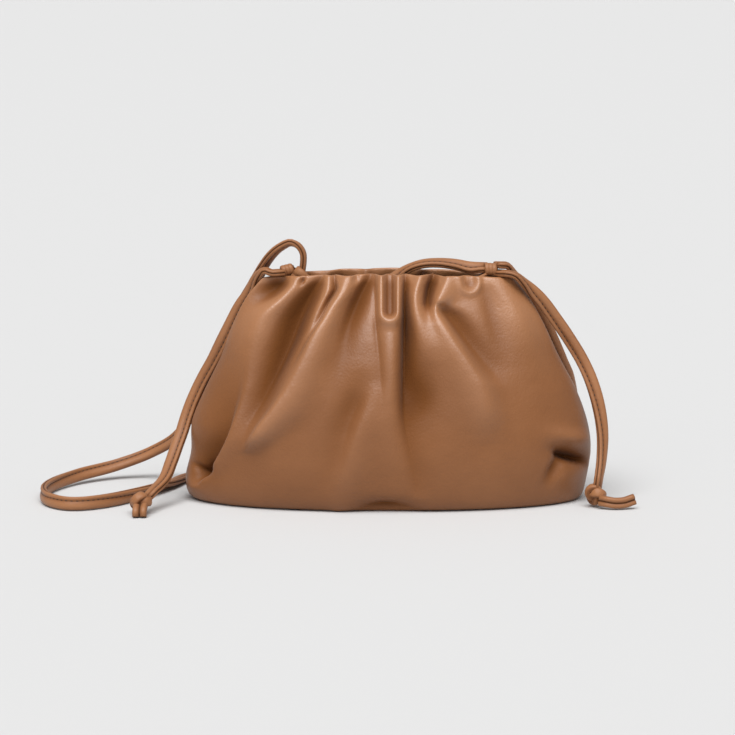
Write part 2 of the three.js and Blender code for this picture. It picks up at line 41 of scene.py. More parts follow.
# sRGB hex to the linear colour that the shaders want
def hexColour(code):
    srgb = np.array([int(code[i:i + 2], 16) for i in (1, 3, 5)]) / 255.0
    linear = np.where(srgb <= 0.04045, srgb / 12.92, ((srgb + 0.055) / 1.055) ** 2.4)
    return (*[float(v) for v in linear], 1.0)


# camera: a long lens a little above the pouch, square to its front
cameraSetup = {"aim": (-11.6, 0.0, 71.0), "distance": 1300.0, "elevation": 9.0, "fieldWidth": 397.0,
               "sensor": 36.0, "clipEnd": 900.0}


def placeCamera(s):
    aim = Vector(s["aim"]) * mm
    tilt = math.radians(s["elevation"])
    away = Vector((0, -math.cos(tilt), math.sin(tilt))) * s["distance"] * mm
    data = bpy.data.cameras.new("photo_camera")
    data.sensor_width = s["sensor"]
    data.lens = s["sensor"] * s["distance"] / s["fieldWidth"]
    data.clip_end = s["clipEnd"]
    camera = bpy.data.objects.new("photo_camera", data)
    bpy.context.collection.objects.link(camera)
    camera.location = aim + away
    camera.rotation_euler = (-away).to_track_quat("-Z", "Y").to_euler()
    bpy.context.scene.camera = camera


placeCamera(cameraSetup)
print("camera placed")


# one node with its settings and its links; a link is (socket name, output socket)
def addNode(tree, kind, settings=None, values=None, links=None):
    node = tree.nodes.new(kind)
    for key, value in (settings or {}).items():
        setattr(node, key, value)
    for key, value in (values or {}).items():
        node.inputs[key].default_value = value
    for key, output in (links or {}).items():
        tree.links.new(output, node.inputs[key])
    return node


# studio: pale paper floor, even glow, and lamps with a power, a turn and a softness, both in degrees
studio = {"floor": "#c9c9c9", "floorRough": 0.9, "floorGloss": 0.1, "floorReach": 400.0,
          "worldGlow": 0.36, "lights": {
    "overhead": {"power": 2.2, "turn": (22, 0, -6), "soft": 46},
    "key_left": {"power": 0.9, "turn": (36, 0, -36), "soft": 22},
    "key_right": {"power": 0.5, "turn": (36, 0, 44), "soft": 26},
    "fill": {"power": 0.5, "turn": (80, 0, -12), "soft": 80}}}


def buildStudio(s):
    bpy.context.scene.view_settings.view_transform = "Standard"
    world = bpy.data.worlds.new("studio_world")
    bpy.context.scene.world = world
    world.use_nodes = True
    world.node_tree.nodes["Background"].inputs["Color"].default_value = (1, 1, 1, 1)
    world.node_tree.nodes["Background"].inputs["Strength"].default_value = s["worldGlow"]
    for name, lamp in s["lights"].items():
        light = bpy.data.lights.new(name, "SUN")
        light.energy = lamp["power"]
        light.angle = math.radians(lamp["soft"])
        holder = bpy.data.objects.new(name, light)
        holder.rotation_euler = [math.radians(a) for a in lamp["turn"]]
        bpy.context.collection.objects.link(holder)
    paper = bpy.data.materials.new("matt_studio_paper")
    paper.use_nodes = True
    shader = paper.node_tree.nodes["Principled BSDF"]
    shader.inputs["Base Color"].default_value = hexColour(s["floor"])
    shader.inputs["Roughness"].default_value = s["floorRough"]
    shader.inputs["Specular IOR Level"].default_value = s["floorGloss"]
    reach = s["floorReach"]
    mesh = bpy.data.meshes.new("studio_floor")
    corners = [(-reach, -reach, 0), (reach, -reach, 0), (reach, reach, 0), (-reach, reach, 0)]
    mesh.from_pydata(corners, [], [(0, 1, 2, 3)])
    mesh.materials.append(paper)
    floor = bpy.data.objects.new("studio_floor", mesh)
    bpy.context.collection.objects.link(floor)


buildStudio(studio)
print("studio built")


# mesh from an array of points and an array of quads, with smooth faces
# relief is a value per point, and slots says which material each face has
def meshPiece(name, points, quads, materials, relief, slots=None):
    mesh = bpy.data.meshes.new(name)
    mesh.vertices.add(len(points))
    mesh.vertices.foreach_set("co", (points * mm).astype(np.float32).ravel())
    mesh.loops.add(quads.size)
    mesh.loops.foreach_set("vertex_index", quads.astype(np.int32).ravel())
    mesh.polygons.add(len(quads))
    mesh.polygons.foreach_set("loop_start", (np.arange(len(quads)) * 4).astype(np.int32))
    mesh.polygons.foreach_set("use_smooth", np.ones(len(quads), dtype=bool))
    reliefLayer = mesh.attributes.new("relief", "FLOAT", "POINT")
    reliefLayer.data.foreach_set("value", relief.astype(np.float32).ravel())
    for material in materials:
        mesh.materials.append(material)
    if slots is not None:
        mesh.polygons.foreach_set("material_index", slots.astype(np.int32))
    mesh.update(calc_edges=True)
    mesh.validate()
    piece = bpy.data.objects.new(name, mesh)
    bpy.context.collection.objects.link(piece)
    return piece


# quads of a grid of rows by columns, closed in either direction where asked
def gridQuads(rows, columns, closedRows=False, closedColumns=False):
    r = np.arange(rows if closedRows else rows - 1)[:, None]
    c = np.arange(columns if closedColumns else columns - 1)[None, :]
    r2 = (r + 1) % rows
    c2 = (c + 1) % columns
    corners = [r * columns + c, r * columns + c2, r2 * columns + c2, r2 * columns + c]
    return np.stack(corners, axis=-1).reshape(-1, 4)


# uniform Catmull-Rom through the rows of a table, with the end rows mirrored on
def throughRows(table, place):
    table = np.asarray(table, dtype=float)
    ends = np.vstack([2 * table[0] - table[1], table, 2 * table[-1] - table[-2]])
    i = np.clip(np.floor(place).astype(int), 0, len(table) - 2)
    t = (place - i)[..., None]
    a, b, c, d = ends[i], ends[i + 1], ends[i + 2], ends[i + 3]
    bend = (2 * a - 5 * b + 4 * c - d) * t ** 2
    twist = (3 * b - a - 3 * c + d) * t ** 3
    return 0.5 * (2 * b + (c - a) * t + bend + twist)


# 0 below low, 1 above high, and an even S between
def smoothStep(value, low, high):
    t = np.clip((value - low) / (high - low), 0, 1)
    return t * t * (3 - 2 * t)


# leather: drum-dyed nappa with a fine pebble; its valley colour is painted shade and its crest colour a
# painted highlight, which with the gloss gives a soft satin glow on the crests
nappa = {"valley": "#613818", "mid": "#80502b", "crest": "#a06b42", "pebbleMm": 1.1, "creaseMm": 9.0,
         "rough": 0.45, "dull": 0.06, "polish": 0.95}
# strap hide: folded and sewn from the same leather, a little duller; its valley colour is painted shade,
# darkest in the groove and stitch valley along the seam, and its crest colour a painted highlight
strapHide = {"valley": "#45270f", "mid": "#865633", "crest": "#b07a50", "pebbleMm": 0.8, "creaseMm": 6.0,
             "rough": 0.5, "dull": 0.15, "polish": 0.6}
# what both leathers share: clouded dye, where painted shade, mid tone and painted highlight sit on the ramp,
# depth of grain and creases, spread of gloss, and the relief over which the gloss rises from low in the
# valleys, as painted shade, to full on the crests
hide = {"cloudMm": 38.0, "cloudDetail": 3.0, "cloudSpan": 0.36, "creaseDetail": 5.0, "creaseRough": 0.6,
        "valleyAt": 0.05, "midAt": 0.5, "crestAt": 0.95,
        "grainBump": 0.3, "grainDeepMm": 0.3, "creaseBump": 0.32, "creaseDeepMm": 1.2, "glossSpan": 0.14,
        "dullBelow": 0.2, "polishedAbove": 0.95, "ior": 1.48, "sheen": 0.06, "sheenRough": 0.5}


# noise scales are features in a metre: 1000 over their size in mm
def leather(name, s, h):
    material = bpy.data.materials.new(name)
    material.use_nodes = True
    tree = material.node_tree
    shader = tree.nodes["Principled BSDF"]
    place = addNode(tree, "ShaderNodeTexCoord").outputs["Object"]
    relief = addNode(tree, "ShaderNodeAttribute", {"attribute_name": "relief"}).outputs["Fac"]
    cloud = addNode(tree, "ShaderNodeTexNoise",
                    values={"Scale": 1000 / h["cloudMm"], "Detail": h["cloudDetail"]},
                    links={"Vector": place})
    tone = addNode(tree, "ShaderNodeMath", {"operation": "MULTIPLY_ADD"},
                   {1: h["cloudSpan"], 2: -h["cloudSpan"] / 2}, {0: cloud.outputs["Fac"]})
    level = addNode(tree, "ShaderNodeMath", {"operation": "ADD"}, links={0: relief, 1: tone.outputs[0]})
    # colour ramp by relief: painted shade in the valleys, painted highlight on the crests
    ramp = addNode(tree, "ShaderNodeValToRGB", links={"Fac": level.outputs[0]})
    ramp.color_ramp.elements[0].color = hexColour(s["valley"])
    ramp.color_ramp.elements[0].position = h["valleyAt"]
    ramp.color_ramp.elements[1].color = hexColour(s["crest"])
    ramp.color_ramp.elements[1].position = h["crestAt"]
    middle = ramp.color_ramp.elements.new(h["midAt"])
    middle.color = hexColour(s["mid"])
    tree.links.new(ramp.outputs["Color"], shader.inputs["Base Color"])
    pebble = addNode(tree, "ShaderNodeTexVoronoi", {"feature": "SMOOTH_F1"}, {"Scale": 1000 / s["pebbleMm"]},
                     {"Vector": place})
    crease = addNode(tree, "ShaderNodeTexNoise",
                     values={"Scale": 1000 / s["creaseMm"], "Detail": h["creaseDetail"],
                             "Roughness": h["creaseRough"]},
                     links={"Vector": place})
    grain = addNode(tree, "ShaderNodeBump",
                    values={"Strength": h["grainBump"], "Distance": h["grainDeepMm"] * mm},
                    links={"Height": pebble.outputs["Distance"]})
    soft = addNode(tree, "ShaderNodeBump",
                   values={"Strength": h["creaseBump"], "Distance": h["creaseDeepMm"] * mm},
                   links={"Height": crease.outputs["Fac"], "Normal": grain.outputs["Normal"]})
    tree.links.new(soft.outputs["Normal"], shader.inputs["Normal"])
    gloss = addNode(tree, "ShaderNodeMath", {"operation": "MULTIPLY_ADD"},
                    {1: h["glossSpan"], 2: s["rough"] - h["glossSpan"] / 2}, {0: crease.outputs["Fac"]})
    tree.links.new(gloss.outputs[0], shader.inputs["Roughness"])
    # gloss by relief: lowered in the valleys as painted shade on their reflections
    polish = addNode(tree, "ShaderNodeMapRange",
                     values={"From Min": h["dullBelow"], "From Max": h["polishedAbove"],
                             "To Min": s["dull"], "To Max": s["polish"]}, links={"Value": relief})
    tree.links.new(polish.outputs["Result"], shader.inputs["Specular IOR Level"])
    shader.inputs["IOR"].default_value = h["ior"]
    shader.inputs["Sheen Weight"].default_value = h["sheen"]
    shader.inputs["Sheen Roughness"].default_value = h["sheenRough"]
    return material


nappaLeather = leather("nappa_leather", nappa, hide)
strapLeather = leather("strap_leather", strapHide, hide)


# waxed thread, dull and coloured dark as painted shade of the stitch holes, which makes the stitches read as
# small dark dashes
thread = {"colour": "#2a1810", "twistMm": 0.4, "twistBump": 0.4, "twistDeepMm": 0.1, "rough": 0.7}


def threadWithPaintedShade(s):
    material = bpy.data.materials.new("thread_with_painted_shade")
    material.use_nodes = True
    tree = material.node_tree
    shader = tree.nodes["Principled BSDF"]
    place = addNode(tree, "ShaderNodeTexCoord").outputs["Object"]
    twist = addNode(tree, "ShaderNodeTexNoise", values={"Scale": 1000 / s["twistMm"]},
                    links={"Vector": place})
    twistBump = addNode(tree, "ShaderNodeBump",
                        values={"Strength": s["twistBump"], "Distance": s["twistDeepMm"] * mm},
                        links={"Height": twist.outputs["Fac"]})
    tree.links.new(twistBump.outputs["Normal"], shader.inputs["Normal"])
    shader.inputs["Base Color"].default_value = hexColour(s["colour"])
    shader.inputs["Roughness"].default_value = s["rough"]
    return material


strapThread = threadWithPaintedShade(thread)
print("leather mixed")

# strap: two layers of leather sewn along one edge; an end cap is drawn in to capShare of the section
strap = {"stepMm": 1.6, "finePerRow": 60, "fewestSteps": 4, "capShare": 0.02}
# half of the strap's section from its plain edge to its sewn edge; columns: across, half thickness, shade
strapProfile = [
    (3.5, 0.3, 0.5), (3.35, 0.9, 0.55), (2.8, 1.5, 0.62), (1.6, 1.85, 0.66), (0.2, 1.8, 0.62),
    (-0.7, 1.5, 0.45), (-1.3, 1.2, 0.25), (-1.8, 1.45, 0.5), (-2.5, 1.65, 0.62), (-3.2, 1.5, 0.62),
    (-3.55, 1, 0.6), (-3.6, 0.5, 0.5), (-3.4, 0.2, 0.2), (-2.9, 0, 0.05)]
# section of the stubs beyond the knots, whose two plies part along the middle
tipProfile = [
    (3.3, 0.3, 0.5), (3.15, 1.1, 0.58), (2.5, 1.7, 0.66), (1.6, 1.8, 0.66), (0.7, 1.5, 0.55),
    (0.25, 1.05, 0.25), (0, 0.7, 0.05), (-0.25, 1.05, 0.25), (-0.7, 1.5, 0.55), (-1.6, 1.8, 0.66),
    (-2.5, 1.7, 0.66), (-3.15, 1.1, 0.58), (-3.3, 0.3, 0.5)]
# stitches: pitch and sizes in mm, where they lie across the strap and above its middle
stitch = {"pitch": 2.8, "half": 0.8, "wide": 0.34, "high": 0.3, "tip": 0.15, "across": -1.3, "up": 1.2,
          "rings": 5, "sides": 6}

# routes of the strands; columns: x, y, z of the middle,
# and the turn in degrees of the width from the strand's upright towards the back
shoulderRoute = [
    (60.2, 1.8, 126.4, 90), (63.6, 3.8, 125.7, 87), (67, 6, 121.6, 67), (71, 6.6, 115.8, 34),
    (75.6, 7.4, 109.6, 10), (80.2, 8.6, 102.2, 0), (84.6, 10.4, 94.3, 0), (89, 12.8, 85, 0),
    (95.2, 16.8, 71, 0), (99.8, 21.5, 60.6, 0), (103.5, 30, 43, 0), (104, 40, 24, 0), (99, 50, 10, 0),
    (86, 58.5, 4.4, 20), (60, 63.5, 3.9, 45), (25, 61, 3, 80), (-30, 57.5, 2.8, 95), (-84, 56, 2.6, 90),
    (-110.5, 43, 2.6, 90), (-122, 17, 2.8, 100), (-134, -9, 3.7, 145), (-150, -29, 3.9, 185),
    (-168, -37, 3.9, 195), (-182, -26, 4, 200), (-187, -6, 4, 200), (-183.5, 14, 4.2, 205),
    (-172, 33, 5.2, 220), (-153, 46, 8, 228), (-133, 47, 15.4, 225), (-117, 38, 27, 210),
    (-107, 28, 46, 195), (-97, 21.5, 70, 185), (-86, 17.6, 92.4, 180), (-79.6, 16.2, 103.4, 172),
    (-73.2, 14.6, 114.4, 152), (-67, 9.8, 126, 130), (-61.4, 5.8, 133.3, 120), (-55.8, 4.4, 137.3, 112),
    (-52.4, 4, 138.3, 104), (-48.7, 3.8, 136.5, 95), (-46.3, 4, 132.4, 90), (-46.2, 4.3, 127.2, 90),
    (-46.8, 4.5, 122.4, 90), (-46, 4.8, 117.6, 90), (-42.6, 5.4, 113.6, 65), (-36.5, 5.2, 111.6, 10),
    (-22, 4.8, 111.4, 0), (-5, 4.8, 113.8, 0), (3, 4.6, 119.4, 40), (10.4, 3.4, 124.4, 72),
    (18.3, 2, 127.2, 74), (27, 1.2, 127.8, 70), (35.6, 0.8, 127, 58), (43, 0.6, 125.5, 48),
    (49.8, 0.6, 125.4, 66)]
mouthRoute = [
    (-49.5, -0.8, 122.6, 8), (-47, -1.6, 120.6, 3), (-43.5, -0.9, 116.4, 0), (-39.5, 0.1, 112.4, 0),
    (-35, -1, 109.2, 0), (-29, -3.6, 106.6, 0), (-20, -4.4, 104.8, 0), (0, -4.4, 103.4, 0),
    (24, -4.4, 105, 0), (36, -3, 109.8, 3), (42, -1.2, 114.8, 30), (46, -0.2, 118.4, 75),
    (49.8, -0.2, 120.2, 90)]
leftTailRoute = [
    (-58.9, -0.4, 122.7, 87), (-63, -0.4, 122.5, 87), (-67, 1.6, 123.2, 80), (-71.8, 5.4, 119, 67),
    (-75.4, 7.4, 111.4, 48), (-80.2, 8.2, 104.2, 30), (-84.5, 8.4, 96.2, 22), (-89.6, 7.9, 85.4, 20),
    (-95.8, 8, 73.4, 20), (-101.4, 7.6, 63.4, 20), (-106.2, 6, 53.4, 20), (-109.6, 3.6, 44.6, 20),
    (-112.2, -0.4, 36.2, 20), (-114.7, -6, 29.2, 20), (-117.3, -14, 21.6, 27), (-120.2, -24, 14.6, 42),
    (-126, -36, 9.6, 62)]
rightTailRoute = [
    (59.5, -0.9, 122.4, 90), (63.5, -3.4, 122.4, 90), (68, -4.6, 121.3, 80), (72.6, -3.6, 117.3, 62),
    (77.2, -2.2, 112.8, 34), (83, -0.4, 106.6, 18), (89.9, 1.4, 97.2, 4), (97, 1, 87, -14),
    (104, -1.5, 75.5, -10), (109.2, -5, 64, 2), (112.9, -9, 51, 20), (114.6, -14, 37.5, 40),
    (113.8, -19.5, 25, 56), (111.6, -25.6, 14, 66)]
leftTipRoute = [
    (-130.8, -46.4, 4.8, 0), (-130.8, -50.2, 4.5, 0), (-130.8, -52.9, 3.4, 0), (-130.8, -53.8, 1.4, 0)]
rightTipRoute = [
    (115.2, -33.6, 4.2, 0), (119.2, -34.6, 3.7, 0), (124.6, -33.8, 3.8, 0), (130.2, -32.4, 5.4, 0)]


# centre, across and through directions along a route at even steps of its length
# the end rings run on by tuck into what they meet
def routeFrames(route, upright, tuck, s):
    route = np.asarray(route, dtype=float)
    fine = throughRows(route, np.linspace(0, len(route) - 1, s["finePerRow"] * len(route)))
    run = np.concatenate([[0], np.cumsum(np.linalg.norm(np.diff(fine[:, :3], axis=0), axis=1))])
    at = np.linspace(0, run[-1], max(s["fewestSteps"], int(run[-1] / s["stepMm"])) + 1)
    rows = np.stack([np.interp(at, run, fine[:, k]) for k in range(4)], axis=1)
    centre = rows[:, :3]
    tangent = np.gradient(centre, axis=0)
    tangent /= np.linalg.norm(tangent, axis=1, keepdims=True)
    turn = np.radians(rows[:, 3:])
    wish = np.cos(turn) * np.array(upright) + np.sin(turn) * np.array([0, 1, 0])
    across = wish - tangent * np.sum(wish * tangent, axis=1, keepdims=True)
    across /= np.linalg.norm(across, axis=1, keepdims=True)
    flips = np.where(np.sum(across[1:] * across[:-1], axis=1) < 0, -1, 1)
    across = across * np.concatenate([[1], np.cumprod(flips)])[:, None]
    through = np.cross(tangent, across)
    first = centre[:1] - tangent[:1] * tuck[0]
    last = centre[-1:] + tangent[-1:] * tuck[1]
    centre = np.concatenate([first, centre[1:-1], last])
    return centre, across, through, at


# whole section: the half profile and its mirror image
def strapSection(profile):
    across, half, shade = np.array(profile, dtype=float).T
    return [np.concatenate([v, sign * v[-2::-1]]) for v, sign in ((across, 1), (half, -1), (shade, 1))]


# a section carried along frames, closed round and capped by pulling the end rings to their middles
def sweep(centre, across, through, sectionX, sectionY):
    sideways = across[:, None, :] * sectionX[None, :, None]
    outward = through[:, None, :] * sectionY[None, :, None]
    rings = centre[:, None, :] + sideways + outward
    first = centre[0] + (rings[:1] - centre[0]) * strap["capShare"]
    last = centre[-1] + (rings[-1:] - centre[-1]) * strap["capShare"]
    return np.concatenate([first, rings, last])


# stitches on both faces of a strap: small capsules along its length at an even pitch
def stitchRow(centre, across, through, along, plump, s):
    at = np.arange(s["pitch"], along[-1] - s["pitch"] / 2, s["pitch"])
    middle, aside, out = [np.stack([np.interp(at, along, v[:, k]) for k in range(3)], axis=1)
                          for v in (centre, across, through)]
    onward = np.cross(aside, out)
    lift = np.linspace(-np.pi / 2, np.pi / 2, s["rings"])[:, None]
    a = np.linspace(0, 2 * np.pi, s["sides"], endpoint=False)[None, :]
    waist = np.maximum(np.cos(lift), s["tip"])
    shape = np.stack(np.broadcast_arrays(np.sin(lift) * s["half"], waist * np.cos(a) * s["wide"],
                                         waist * np.sin(a) * s["high"]), axis=-1).reshape(-1, 3)
    axes = np.stack([onward, aside, out], axis=1)
    cloud = np.einsum("pk,nkd->npd", shape, axes) + (middle + aside * s["across"])[:, None]
    points = np.concatenate([cloud + out[:, None] * s["up"] * plump, cloud - out[:, None] * s["up"] * plump])
    one = gridQuads(s["rings"], s["sides"], closedColumns=True)
    quads = one[None] + (np.arange(len(points)) * len(shape))[:, None, None]
    return points.reshape(-1, 3), quads.reshape(-1, 4)


# one strand: its section carried along its route, with stitches where it has the sewn profile
def strapPiece(name, s):
    centre, across, through, along = routeFrames(s["route"], s["upright"], s["tuck"], strap)
    sectionX, sectionY, shade = strapSection(s["profile"])
    rings = sweep(centre, across, through, sectionX * s["wide"], sectionY * s["plump"])
    rows, columns = rings.shape[:2]
    quads = gridQuads(rows, columns, closedColumns=True)
    points = rings.reshape(-1, 3)
    relief = np.broadcast_to(shade, (rows, columns)).ravel()
    slots = np.zeros(len(quads))
    if s["profile"] is strapProfile:
        sewn, sewnQuads = stitchRow(centre, across, through, along, s["plump"], stitch)
        quads = np.concatenate([quads, sewnQuads + len(points)])
        points = np.concatenate([points, sewn])
        relief = np.concatenate([relief, np.zeros(len(sewn))])
        slots = np.concatenate([slots, np.ones(len(sewnQuads))])
    return meshPiece(name, points, quads, [strapLeather, strapThread], relief, slots), centre


# strands of the strap: the way the width stands, how far each end runs on into what it meets,
# and how plump and wide the section is
strands = {
    "strap_shoulder": {"route": shoulderRoute, "node": "shoulder_strap", "upright": (0, 0, 1), "tuck": (3, 3),
                       "profile": strapProfile, "plump": 1, "wide": 1},
    "strap_mouth": {"route": mouthRoute, "node": "mouth_string", "upright": (0, 0, 1), "tuck": (1.5, 3),
                    "profile": strapProfile, "plump": 1, "wide": 1},
    "strap_tail_left": {"route": leftTailRoute, "node": "tail_left", "upright": (-1, 0, 0), "tuck": (3, 5),
                        "profile": strapProfile, "plump": 1, "wide": 1},
    "strap_tail_right": {"route": rightTailRoute, "node": "tail_right", "upright": (1, 0, 0), "tuck": (3, 5),
                         "profile": strapProfile, "plump": 1, "wide": 1},
    "strap_tip_left": {"route": leftTipRoute, "node": "tip_left", "upright": (1, 0, 0), "tuck": (0, 0.8),
                       "profile": tipProfile, "plump": 1.2, "wide": 1.15},
    "strap_tip_right": {"route": rightTipRoute, "node": "tip_right", "upright": (0, 0, 1), "tuck": (4, 0),
                        "profile": tipProfile, "plump": 1, "wide": 0.88}}
straps = {}
for name, strand in strands.items():
    straps[name] = strapPiece(name, strand)
    steps = np.linalg.norm(np.diff(straps[name][1], axis=0), axis=1)
    print(name, "length mm", round(float(np.sum(steps)), 1))

# end knots: middle in mm, lean about X and turn about Z in degrees
endKnots = {"knot_left": {"at": (-131, -44.2, 6.6), "lean": 50, "turn": 15, "node": "end_knot_left"},
            "knot_right": {"at": (109.7, -28, 6.9), "lean": 25, "turn": -30, "node": "end_knot_right"}}
knotShape = {"radius": 3, "tall": 1.15, "width": 5.4, "thick": 3.2, "squareWide": 0.7, "squareThick": 0.8,
             "shade": 0.45, "shadeSpan": 0.2, "edgePower": 6, "steps": 150, "sides": 20}


# points leant about the X axis and then turned about the Z axis
def turnedPoints(points, lean, turn):
    a, b = math.radians(lean), math.radians(turn)
    leanBy = np.array([[1, 0, 0], [0, math.cos(a), -math.sin(a)], [0, math.sin(a), math.cos(a)]])
    turnBy = np.array([[math.cos(b), -math.sin(b), 0], [math.sin(b), math.cos(b), 0], [0, 0, 1]])
    return points @ (turnBy @ leanBy).T


# overhand knot: a loop that goes round twice while its radius and rise swing three times,
# with the strap's flat side always facing away from the middle
def knotPiece(name, k, s):
    t = np.linspace(0, 2 * np.pi, s["steps"], endpoint=False)
    ring = s["radius"] / 2 * (2 + np.cos(3 * t))
    rise = -s["radius"] / 2 * s["tall"] * np.sin(3 * t)
    path = np.stack([ring * np.cos(2 * t), rise, ring * np.sin(2 * t)], axis=1)
    tangent = np.roll(path, -1, axis=0) - np.roll(path, 1, axis=0)
    tangent /= np.linalg.norm(tangent, axis=1, keepdims=True)
    outward = path - tangent * np.sum(path * tangent, axis=1, keepdims=True)
    outward /= np.linalg.norm(outward, axis=1, keepdims=True)
    across = np.cross(outward, tangent)
    a = np.linspace(0, 2 * np.pi, s["sides"], endpoint=False)
    sectionX = s["width"] / 2 * np.sign(np.cos(a)) * np.abs(np.cos(a)) ** s["squareWide"]
    sectionY = s["thick"] / 2 * np.sign(np.sin(a)) * np.abs(np.sin(a)) ** s["squareThick"]
    sideways = across[:, None] * sectionX[None, :, None]
    rings = path[:, None] + sideways + outward[:, None] * sectionY[None, :, None]
    points = turnedPoints(rings.reshape(-1, 3), k["lean"], k["turn"]) + np.array(k["at"])
    edge = np.abs(np.cos(a)) ** s["edgePower"]
    relief = np.broadcast_to(s["shade"] + s["shadeSpan"] * (np.abs(np.sin(a)) - edge), rings.shape[:2])
    return meshPiece(name, points, gridQuads(s["steps"], s["sides"], True, True), [strapLeather], relief)


knots = {}
for name, k in endKnots.items():
    knots[name] = knotPiece(name, k, knotShape)
print("end knots tied")

# keepers: middle in mm, tilt about Y in degrees, radius of the winding in mm
keepers = {"keeper_wrap_left": {"at": (-54.4, 1.4, 124), "tilt": 14, "radius": 2.2, "node": "keeper_left"},
           "keeper_wrap_right": {"at": (54.5, 0, 124.2), "tilt": -4, "radius": 2.8, "node": "keeper_right"}}
keeperShape = {"half": 4.3, "turns": 3, "band": 3, "thick": 1.7, "steps": 150, "sides": 16,
               "coreRings": 24, "coreInset": 0.2, "coreShort": 0.4, "corePower": 10, "coreEnd": 0.02,
               "coreShade": 0.2, "shade": 0.45, "shadeSpan": 0.2, "edgeShade": 0.25, "edgePower": 6}


# keeper: a narrow band wound in a helix round the strands, over a plain core with rounded ends
def keeperPiece(name, k, s):
    t = np.linspace(0, 1, s["steps"])
    angle = 2 * np.pi * s["turns"] * t
    travel = s["half"] - s["band"] / 2
    path = np.stack([travel * (2 * t - 1), k["radius"] * np.cos(angle), k["radius"] * np.sin(angle)], axis=1)
    tangent = np.gradient(path, axis=0)
    tangent /= np.linalg.norm(tangent, axis=1, keepdims=True)
    outward = path * np.array([0, 1, 1])
    outward /= np.linalg.norm(outward, axis=1, keepdims=True)
    across = np.cross(outward, tangent)
    a = np.linspace(0, 2 * np.pi, s["sides"], endpoint=False)
    rings = sweep(path, across, outward, s["band"] / 2 * np.cos(a), s["thick"] / 2 * np.sin(a))
    coreLong = np.linspace(-1, 1, s["coreRings"])
    coreWaist = np.clip(1 - np.abs(coreLong) ** s["corePower"], s["coreEnd"], 1) ** 0.5
    coreRound = (k["radius"] - s["coreInset"]) * coreWaist[:, None]
    coreAlong = coreLong[:, None] * (s["half"] - s["coreShort"])
    coreAlong = np.broadcast_to(coreAlong, (s["coreRings"], s["sides"]))
    core = np.stack([coreAlong, coreRound * np.cos(a), coreRound * np.sin(a)], axis=-1)
    points = np.concatenate([rings.reshape(-1, 3), core.reshape(-1, 3)])
    tilt = math.radians(k["tilt"])
    tiltBy = np.array([[math.cos(tilt), 0, -math.sin(tilt)], [0, 1, 0], [math.sin(tilt), 0, math.cos(tilt)]])
    coreQuads = gridQuads(s["coreRings"], s["sides"], closedColumns=True) + len(rings) * s["sides"]
    quads = np.concatenate([gridQuads(len(rings), s["sides"], closedColumns=True), coreQuads])
    bandShade = s["shade"] + s["shadeSpan"] * np.sin(a) - s["edgeShade"] * np.abs(np.cos(a)) ** s["edgePower"]
    relief = np.concatenate([np.broadcast_to(bandShade, rings.shape[:2]).ravel(),
                             np.full(s["coreRings"] * s["sides"], s["coreShade"])])
    return meshPiece(name, points @ tiltBy.T + np.array(k["at"]), quads, [strapLeather], relief)


for name, k in keepers.items():
    knots[name] = keeperPiece(name, k, keeperShape)
print("keepers wound")

# pouch: wall, gap, dip, drop, flare and base fade in mm; the other values are shares, powers and counts
pouch = {"wall": 2.3, "seamGap": 0.3, "mouthDip": 3.4, "frontDrop": 0.9, "backFlare": 2.2, "flareFrom": 0.95,
         "dipPower": 6, "sectionPower": 2.3, "seamFade": 0.28, "baseFade": 1.6,
         "midCrowding": 0.3, "seamKeep": 0.3, "levelFrom": 0.72, "levelAt": 0.97,
         "columns": 320, "rows": 136, "rimSteps": 6}
# where the leather is painted lighter or darker: lighter at the rim for rub wear and painted light, lighter
# along the side seams, a painted highlight on raised gathers of the upper wall, valleys painted darker as
# shade and ridges lighter as highlight by lift over valleyMm and ridgeMm; heights and lifts in mm
wearAndPaintedLight = {"base": 0.5, "rim": 0.35, "rimFrom": 0.965, "seam": 0.25, "seamSpan": (-0.1, -0.02),
        "seamHeights": (6, 30), "upperHighlight": 0.32, "upperHighlightHeights": (78, 110), "upperHighlightLifts": (-3, 1),
        "valleyMm": 14, "ridgeMm": 26}

# sections from the seam under the base up to the mouth; columns: height, reach, left, right, edge
sections = [
    (0, 0, 101, 100, 0.5), (0, 22, 102.5, 101.5, 0.5), (0, 36, 104.5, 103, 0.5), (3, 42, 109, 105.5, 0.5),
    (12, 45, 110.4, 107.5, 0.5), (26, 46, 107.3, 109.5, 0.5), (42, 44.5, 106.6, 107.5, 0.52),
    (60, 40.5, 99.2, 101, 0.58), (78, 34.5, 90.6, 91.6, 0.66), (96, 26, 84, 83.4, 0.72),
    (110.4, 17.5, 77.2, 75.8, 0.74), (122.6, 10, 68.6, 67.4, 0.68)]
